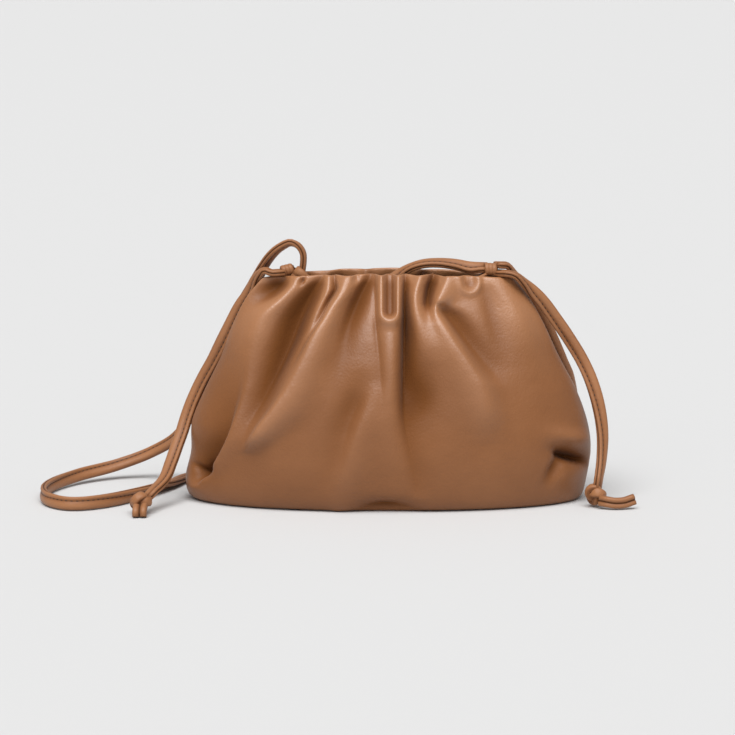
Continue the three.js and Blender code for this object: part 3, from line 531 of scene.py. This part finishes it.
# folds that run down the front and the back; columns of their rows: height, x, wideLeft, wideRight, lift
frontFolds = {
    "cornerBulge": {"power": 2, "rows": [
        (124, -47.5, 4, 4, 1.5), (116, -52.5, 5, 5, 3.2), (108, -59, 7, 6, 4), (99, -66, 9, 7, 4),
        (86, -71, 12, 8, 3.2), (70, -75, 12, 8, 2), (54, -78, 10, 8, 0.8), (42, -80, 9, 8, 0)]},
    "mainValley": {"power": 1.6, "rows": [
        (126, -33.5, 3.4, 3.4, -2), (120, -36.5, 4.4, 4.2, -3.8), (114.5, -41, 5.5, 5.2, -6),
        (108.5, -45.2, 6.8, 6, -8), (100.6, -50.2, 8, 6.6, -9.2), (93, -53.6, 8.5, 6.8, -9.2),
        (82.2, -58.4, 8.5, 6.6, -8.4), (72.8, -62.4, 8, 6.2, -7), (63.2, -66.5, 7.5, 5.6, -5.4),
        (56.8, -69.5, 7, 5, -4.2), (50, -73, 6.5, 4.6, -2.6), (43, -76.5, 6, 4, -1), (37, -79, 6, 4, 0)]},
    "pleatStrip": {"power": 2, "rows": [
        (126, -33, 3, 2, 1.6), (118, -32.5, 3.4, 2, 2.2), (112, -33.6, 3.6, 1.8, 2.2),
        (104, -38, 4, 1.8, 1.4), (95, -42.5, 4, 2, 0.9), (84, -48.5, 4, 2.4, 0.7), (70, -55, 4, 2.5, 0.5),
        (60, -60, 4, 2.5, 0)]},
    "pleatCrease": {"power": 1.6, "rows": [
        (126, -30.2, 1.3, 1.3, -2), (118.2, -29.2, 1.3, 1.3, -3.5), (114.9, -28.9, 1.3, 1.3, -4.5),
        (109.3, -32.4, 1.4, 1.3, -4), (102.8, -35.7, 1.5, 1.4, -3), (95.2, -39.7, 1.6, 1.5, -2),
        (87.5, -44.6, 1.7, 1.6, -1.4), (81.3, -47.8, 1.8, 1.8, -1), (74.2, -51, 2, 2, 0)]},
    "longRidge": {"power": 2.2, "rows": [
        (126, -20.5, 4.5, 5, 3.5), (119, -23, 3.8, 5.5, 5), (113, -25.4, 3.4, 6, 6.2),
        (107.8, -28.4, 3.8, 6.5, 6.8), (100, -32.4, 4.4, 7.5, 6.8), (91.4, -37.6, 5.4, 9, 6.8),
        (79, -43.4, 6.2, 10.5, 6.6), (65.6, -50.6, 6, 12, 6.5), (53.7, -58.8, 4.6, 12.5, 6.8),
        (45.6, -65.2, 4, 11, 7), (41, -68.4, 3.8, 9, 6.8), (37.4, -70.8, 3.6, 7.5, 5.6),
        (34, -73, 3.6, 6, 2.6), (30.5, -75.4, 4, 6, 0)]},
    "innerValley": {"power": 1.7, "rows": [
        (126, -9, 3.2, 2.8, -2.4), (120, -10.8, 4, 3.4, -4.6), (114.6, -14, 4.8, 4.2, -6),
        (109.2, -17.2, 5.4, 5.2, -6.2), (102.8, -20.4, 6, 6, -5.4), (94.6, -23.5, 6.4, 6.8, -4),
        (85.2, -25.2, 7, 7.5, -2.6), (74, -27, 8, 8, -1.3), (60, -29, 8, 8, 0)]},
    "tuckCrease": {"power": 1.6, "rows": [
        (126, -7.6, 1.3, 1.3, -1.2), (112, -7.6, 1.3, 1.3, -1.8), (96, -7, 1.5, 1.5, -1.6),
        (80, -5.4, 1.8, 1.8, -1.2), (60, -4.2, 2.2, 2.2, -0.6), (48, -3.8, 2.2, 2.2, 0)]},
    "middleColumn": {"power": 2, "rows": [
        (126, 0.3, 6, 5, 2), (100, 0.3, 6, 5.5, 3.2), (84, 1, 6.5, 5.5, 3.4), (66, 1.5, 7, 5.5, 2.6),
        (50, 1, 9, 6, 1.6), (34, 0, 10, 7, 0.8), (20, 0, 10, 8, 0)]},
    "footRidge": {"power": 2, "rows": [
        (70, -6, 6, 7, 0), (61, -10, 6, 8, 1.2), (50, -13.5, 5, 9, 2), (36, -18.5, 5, 9, 2.2),
        (20, -23, 6, 9, 2), (8, -26.5, 6, 9, 1)]},
    "footValley": {"power": 2, "rows": [
        (76, -16, 7, 6, 0), (66, -17, 8, 6, -1.6), (57.7, -18.7, 8, 5.5, -3), (48, -22.5, 8, 5, -2.4),
        (36, -25.5, 8, 5, -1.4), (20, -29, 8, 6, -0.6), (10, -31, 8, 6, 0)]},
    "deepValley": {"power": 1.25, "rows": [
        (126, 8.4, 1.5, 2.2, -2.5), (118, 8.3, 1.5, 2.6, -5), (108, 8.1, 1.6, 3.2, -8),
        (96, 8, 1.8, 4.2, -10), (84, 7.8, 1.9, 5.2, -10), (75, 7.6, 2.1, 6.6, -9),
        (66, 7.4, 2.2, 8, -7.5), (56, 7.4, 2.6, 9, -5), (46, 8.4, 2.8, 9, -3.4), (30, 11.5, 3.2, 8, -2.2),
        (16, 14, 3.6, 7, -1.4), (8, 14.8, 4, 6, 0)]},
    "shortRidge": {"power": 2, "rows": [
        (126, 17.6, 3, 3.4, 3), (120.5, 15.8, 3, 3.4, 4.2), (114, 13.4, 3, 3.8, 5),
        (106, 13, 3, 4.4, 4.8), (98, 14.6, 3.6, 5.4, 3.6), (88, 18.5, 5.5, 6.5, 2), (76, 24, 7, 7, 0)]},
    "recess": {"power": 1.8, "rows": [
        (126, 25.5, 3.4, 3, -3.5), (120, 23.8, 3.2, 2.6, -6.5), (114, 21.8, 2.8, 2.2, -7.5),
        (108, 20.6, 2.6, 2.2, -5.5), (103, 20.8, 2.6, 2.6, -2), (98, 22, 2.8, 3, 0)]},
    "lip": {"power": 2, "rows": [
        (126, 32.5, 2.4, 7, 3.5), (121, 30.6, 2.2, 8, 4.6), (116, 28, 2, 8.5, 5.2),
        (110.5, 25.4, 1.8, 7.5, 5), (107, 24.4, 1.8, 5, 3.4), (103, 24.6, 2, 4, 0)]},
    "lipValley": {"power": 2, "rows": [
        (109, 25.5, 2, 3.4, 0), (106, 28.5, 3.4, 5.5, -2.2), (102, 33, 5, 6.8, -3.9),
        (95, 38, 6.2, 7.8, -4.4), (86, 44, 7, 8, -3.7), (76, 50, 7.5, 8.5, -2.3), (66, 55, 7.5, 8.5, 0)]},
    "rightRidge": {"power": 2, "rows": [
        (108, 20.5, 3, 3, 0), (104.5, 23.2, 3.6, 3, 2.6), (95.4, 28.6, 6, 5.8, 4.8),
        (85.7, 34.4, 8.5, 7.4, 5.6), (76.1, 40.8, 10, 8.4, 6), (67.5, 45.4, 11, 9, 6),
        (59.4, 48.4, 11, 9, 5.6), (53.2, 49.6, 10.5, 9.5, 4.6), (47.7, 50, 10, 9.5, 3),
        (42, 50.2, 9, 9, 1.2), (36, 50.4, 9, 9, 0)]},
    "shoulderValley": {"power": 2, "rows": [
        (118, 50.5, 3, 3.4, -0.6), (111, 52.5, 4.5, 4.5, -1.6), (98, 56, 5.5, 5.5, -1.8),
        (84, 60, 6.5, 6.5, -1), (72, 63, 6.5, 6.5, 0)]},
    "shoulderRidge": {"power": 2, "rows": [
        (126, 53, 4, 7, 1.2), (120, 56, 5, 8, 2), (107.5, 63.5, 7, 9, 3), (94, 70, 9, 9, 2.8),
        (80, 75, 10, 10, 1.4), (66, 79, 10, 10, 0)]},
    "gussetHollow": {"power": 2, "rows": [
        (80, -79, 8, 6, 0), (71, -80, 10, 4.5, -1.2), (60, -82, 13, 3, -2.4),
        (45.6, -85.5, 13, 1.8, -3.4), (36.5, -88.6, 12, 1.5, -4.4), (28, -92.6, 10, 1.4, -5.6),
        (21.5, -96.6, 8, 1.4, -6.6), (15, -101.4, 4.5, 1.4, -5), (9, -104, 3, 2, 0)]},
    "gussetEdge": {"power": 2, "rows": [
        (60, -80.5, 3, 8, 0), (45.6, -83, 1.8, 8, 1.2), (36.5, -86, 1.6, 7, 1.6), (28, -90, 1.6, 6, 1.8),
        (21.5, -94, 1.6, 6, 1.6), (15, -99, 1.8, 5, 0.8), (10, -102, 3, 5, 0)]}}
backFolds = {
    "leftShoulder": {"power": 2, "rows": [
        (126, -47, 7, 5, 4.6), (112, -51, 7, 6, 4), (90, -62, 9, 8, 3), (66, -72, 11, 10, 1.4),
        (48, -78, 11, 10, 0)]},
    "leftValley": {"power": 2, "rows": [
        (126, -32, 3.5, 3.5, -1.5), (112, -37, 4.5, 4.5, -3.5), (92, -46, 6, 6, -4.5),
        (70, -54, 8, 8, -2), (52, -60, 8, 8, 0)]},
    "leftRidge": {"power": 2, "rows": [
        (126, -24, 4, 4, 2), (110, -27, 5, 6, 4.5), (86, -35, 7, 8, 4.5), (60, -43, 9, 10, 3),
        (36, -50, 10, 11, 0)]},
    "leftInner": {"power": 2, "rows": [
        (126, -12, 3, 3, -2), (112, -14, 4, 4, -5), (94, -17, 6, 6, -4), (72, -20, 8, 8, -1.6),
        (54, -22, 8, 8, 0)]},
    "middleRidge": {"power": 2, "rows": [
        (126, 2, 6, 7, 2), (108, 1, 6, 7, 4), (80, -1, 8, 9, 3.6), (52, -2, 10, 10, 1.6),
        (30, -3, 10, 10, 0)]},
    "rightInner": {"power": 2, "rows": [
        (126, 19, 3, 3, -2.5), (110, 18, 4, 4, -5), (90, 22, 6, 6, -4), (68, 27, 8, 8, -1.4),
        (50, 30, 8, 8, 0)]},
    "rightRidge": {"power": 2, "rows": [
        (126, 30, 4, 5, 2), (110, 33, 5, 6, 4.5), (86, 40, 7, 8, 4.5), (60, 48, 9, 10, 3),
        (38, 54, 10, 11, 0)]},
    "rightValley": {"power": 2, "rows": [
        (126, 42, 3, 3, -1), (112, 46, 4.5, 4.5, -3.4), (92, 54, 6, 6, -3.5), (70, 61, 8, 8, -1.6),
        (54, 66, 8, 8, 0)]},
    "rightShoulder": {"power": 2, "rows": [
        (126, 52, 5, 5, 2.5), (110, 58, 6, 6, 3), (88, 69, 9, 9, 2.4), (64, 78, 10, 10, 0)]},
    "leftHollow": {"power": 2, "rows": [
        (74, -82, 8, 8, 0), (58, -86, 9, 8, -3), (40, -92, 8, 8, -6), (24, -98, 7, 7, -7),
        (9, -102, 5, 5, 0)]},
    "rightHollow": {"power": 2, "rows": [
        (72, 84, 8, 8, 0), (56, 88, 8, 9, -3), (40, 93, 8, 8, -6), (24, 99, 7, 7, -7),
        (9, 102, 5, 5, 0)]}}

# dents and puffs of oval shape; columns: x, height, long, wide, turn, lift
frontDents = [
    (-61.2, 115, 10.5, 5, 31, -6.2), (-46.5, 118.9, 2.2, 1.3, 60, -3.2), (-17.5, 121.2, 2.4, 1.8, 90, -3),
    (17, 60, 15, 9, 90, -3), (97, 27, 10, 4.6, -24, -5), (101, 24.4, 9.5, 1.9, -26, -8.5),
    (88.6, 21.5, 7.5, 3.4, 58, -3.6), (98, 36, 12, 4.4, -18, 2.6), (97, 13, 9, 6, -10, 0.6),
    (-2, 2.4, 13, 4.6, 0, -4), (-98.6, 18.5, 4.2, 2.6, 38, -7), (-103, 18.2, 3.6, 1.4, -32, -4),
    (-104, 9, 6, 5, 0, 1.5)]

# tucks at the mouth, each a hollow with a round foot and a rolled edge
# the hollow starts hollowFrom mm inside the edge and is full at hollowFull of the half width
tuckShape = {"hollowFrom": 0.5, "hollowFull": 0.8}
# columns: x, foot, half, wide, lift, hollow, slant
frontTucks = [(0.2, 104, 4.9, 2.8, 3, -5.4, 0), (42.8, 118.4, 5.2, 1.9, 1.5, -1.8, -0.2)]


# unfolded wall: across a half turn from the left seam to the right, and up the sections from base to mouth
# depth is reach times (1 less a power of the way across) to the edge power, and the mouth dips to its sides
def plainWall(side, turn, share, s):
    height, reach, left, right, edge = np.moveaxis(throughRows(sections, share * (len(sections) - 1)), -1, 0)
    across = -np.cos(turn)
    bulge = np.maximum(0, 1 - np.abs(across) ** s["sectionPower"]) ** edge
    drop = s["frontDrop"] * (1 - across ** 2) if side < 0 else 0
    dip = (s["mouthDip"] * across ** 2 + drop) * share ** s["dipPower"]
    flareShare = np.maximum(0, share - s["flareFrom"]) / (1 - s["flareFrom"])
    flare = s["backFlare"] * flareShare ** 2 if side > 0 else 0
    return np.stack([np.where(across < 0, left, right) * across, side * (reach + flare) * bulge,
                     np.maximum(0, height) - dip], axis=-1)


# square to the unfolded wall, from the cross product of two short steps; level near the mouth
def plainNormal(side, turn, share, s):
    step, tiny = 1e-3, 1e-9
    right = plainWall(side, np.minimum(turn + step, np.pi), share, s)
    left = plainWall(side, np.maximum(turn - step, 0), share, s)
    above = plainWall(side, turn, np.minimum(share + step, 1), s)
    below = plainWall(side, turn, np.maximum(share - step, 0), s)
    normal = np.cross(right - left, above - below) * -side
    size = np.linalg.norm(normal, axis=-1, keepdims=True)
    normal = np.where(size > tiny, normal / np.maximum(size, tiny), np.array([0, 0, -1.0]))
    normal[..., 2] *= 1 - smoothStep(share, s["levelFrom"], s["levelAt"])
    return normal / np.linalg.norm(normal, axis=-1, keepdims=True)


# values at a height from rows that run downward: a cubic between rows, held past both ends
def downRows(rows, z):
    table = np.asarray(rows, dtype=float)[::-1]
    heights, values = table[:, 0], table[:, 1:]
    upper = np.minimum(np.arange(len(table)) + 1, len(table) - 1)
    lower = np.maximum(np.arange(len(table)) - 1, 0)
    slopes = (values[upper] - values[lower]) / (heights[upper] - heights[lower])[:, None]
    z = np.clip(z, heights[0], heights[-1])
    i = np.clip(np.searchsorted(heights, z, side="right") - 1, 0, len(heights) - 2)
    gap = (heights[i + 1] - heights[i])[..., None]
    t = (z - heights[i])[..., None] / gap
    return (values[i] * (1 + 2 * t) * (1 - t) ** 2 + slopes[i] * gap * t * (1 - t) ** 2
            + values[i + 1] * t ** 2 * (3 - 2 * t) + slopes[i + 1] * gap * t ** 2 * (t - 1))


# sum of the folds: lift times e to minus (distance over width) to the power, on both sides of each line
def foldLift(folds, x, z):
    lift = np.zeros_like(x)
    for fold in folds.values():
        middle, wideLeft, wideRight, height = np.moveaxis(downRows(fold["rows"], z), -1, 0)
        aside = x - middle
        lift += height * np.exp(-np.abs(aside / np.where(aside < 0, wideLeft, wideRight)) ** fold["power"])
    return lift


# sum of the oval dents: depth times e to minus the squares of the distances over long and wide
def dentLift(dents, x, z):
    lift = np.zeros_like(x)
    for middle, height, long, wide, turn, depth in dents:
        c, d = math.cos(math.radians(turn)), math.sin(math.radians(turn))
        along = (x - middle) * c + (z - height) * d
        aside = (z - height) * c - (x - middle) * d
        lift += depth * np.exp(-(along / long) ** 2 - (aside / wide) ** 2)
    return lift


# sum of the tucks: a rolled edge along a U-shaped line, and a hollow inside it
def tuckLift(tucks, x, z, s):
    lift = np.zeros_like(x)
    for middle, foot, half, wide, rise, hollow, slant in tucks:
        size = math.hypot(1, slant)
        aside = (x - middle - slant * (z - foot)) / size
        along = ((x - middle) * slant + z - foot) / size
        inside = half - np.hypot(aside, np.minimum(along, 0))
        lift += rise * np.exp(-(inside / wide) ** 2)
        lift += hollow * smoothStep(inside, s["hollowFrom"], half * s["hollowFull"])
    return lift


# pouch wall: outer grid up from the base, a rounded rim, and the inner grid back down, closed along its seams
# relief is higher on ridges as painted highlight and lower in valleys as painted shade, and raised at the
# rim, along the side seams and on the upper gathers
def wallPiece(name, side, folds, dents, tucks, s, w, material):
    u = np.linspace(0, 1, s["columns"] + 1)
    turn = (np.pi * u + s["midCrowding"] * np.sin(2 * np.pi * u) / 2)[None, :]
    share = np.linspace(0, 1, s["rows"] + 1)[:, None]
    turn, share = np.broadcast_arrays(turn, share)
    plain = plainWall(side, turn, share, s)
    normal = plainNormal(side, turn, share, s)
    x, z = plain[..., 0], plain[..., 2]
    fade = smoothStep(np.sin(turn), 0, s["seamFade"]) * smoothStep(z, 0, s["baseFade"])
    lift = (foldLift(folds, x, z) + dentLift(dents, x, z) + tuckLift(tucks, x, z, tuckShape)) * fade
    shift = np.array([0, side * s["seamGap"] / 2, 0])
    outer = plain + normal * lift[..., None] + shift
    inside = plain - normal * s["wall"]
    inside[..., 1] = side * np.maximum(side * inside[..., 1], side * plain[..., 1] * s["seamKeep"])
    inner = inside + normal * lift[..., None] + shift
    up = outer[-1] - outer[-2]
    up /= np.linalg.norm(up, axis=-1, keepdims=True)
    middle = (outer[-1] + inner[-1]) / 2
    half = (outer[-1] - inner[-1]) / 2
    roll = np.linspace(0, np.pi, s["rimSteps"] + 2)[1:-1, None, None]
    rim = middle + half * np.cos(roll) + up * s["wall"] / 2 * np.sin(roll)
    grid = np.concatenate([outer, rim, inner[::-1]])
    rows, columns = grid.shape[:2]
    low = np.arange(s["rows"])
    high = rows - 1 - low
    leftEdge = np.stack([low * columns, (low + 1) * columns, (high - 1) * columns, high * columns], axis=1)
    rightEdge = leftEdge[:, ::-1] + columns - 1
    quads = np.concatenate([gridQuads(rows, columns, closedRows=True), leftEdge, rightEdge])
    if side > 0:
        quads = quads[:, ::-1]
    # lighter at the rim for rub wear and painted light, lighter along the side seams above the base, and a
    # painted highlight on the raised gathers of the upper wall
    wornAndPaintedLight = w["rim"] * smoothStep(share, w["rimFrom"], 1)
    wornAndPaintedLight += w["seam"] * smoothStep(-np.sin(turn), *w["seamSpan"]) * smoothStep(z, *w["seamHeights"])
    wornAndPaintedLight += w["upperHighlight"] * smoothStep(z, *w["upperHighlightHeights"]) * smoothStep(lift, *w["upperHighlightLifts"])
    # valleys painted darker as shade and ridges lighter as highlight, in step with the lift
    relief = np.clip(w["base"] + np.where(lift < 0, lift / w["valleyMm"], lift / w["ridgeMm"]) + wornAndPaintedLight, 0, 1)
    relief = np.concatenate([relief, np.repeat(relief[-1:], s["rimSteps"], axis=0), relief[::-1]])
    return meshPiece(name, grid.reshape(-1, 3), quads, [material], relief)


pouchFront = wallPiece("pouch_front", -1, frontFolds, frontDents, frontTucks, pouch, wearAndPaintedLight, nappaLeather)
pouchBack = wallPiece("pouch_back", 1, backFolds, [], [], pouch, wearAndPaintedLight, nappaLeather)
print("pouch walls folded")

for piece, node in ((pouchFront, "front_panel"), (pouchBack, "back_panel")):
    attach(piece, "root")
    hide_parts(node)
for name, strand in strands.items():
    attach(straps[name][0], "root")
    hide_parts(strand["node"])
for name, k in {**endKnots, **keepers}.items():
    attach(knots[name], "root")
    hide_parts(k["node"])

# cords: length in metres, what the far end is, and the pieces that go with each
cords = {
    "strap_shoulder": {"length": 0.88, "farEnd": "object", "pieces": []},
    "strap_mouth": {"length": 0.115, "farEnd": "object", "pieces": []},
    "strap_tail_left": {"length": 0.16, "farEnd": "knot",
                        "pieces": [knots["knot_left"], straps["strap_tip_left"][0]]},
    "strap_tail_right": {"length": 0.14, "farEnd": "knot",
                         "pieces": [knots["knot_right"], straps["strap_tip_right"][0]]}}
for name, c in cords.items():
    piece, centre = straps[name]
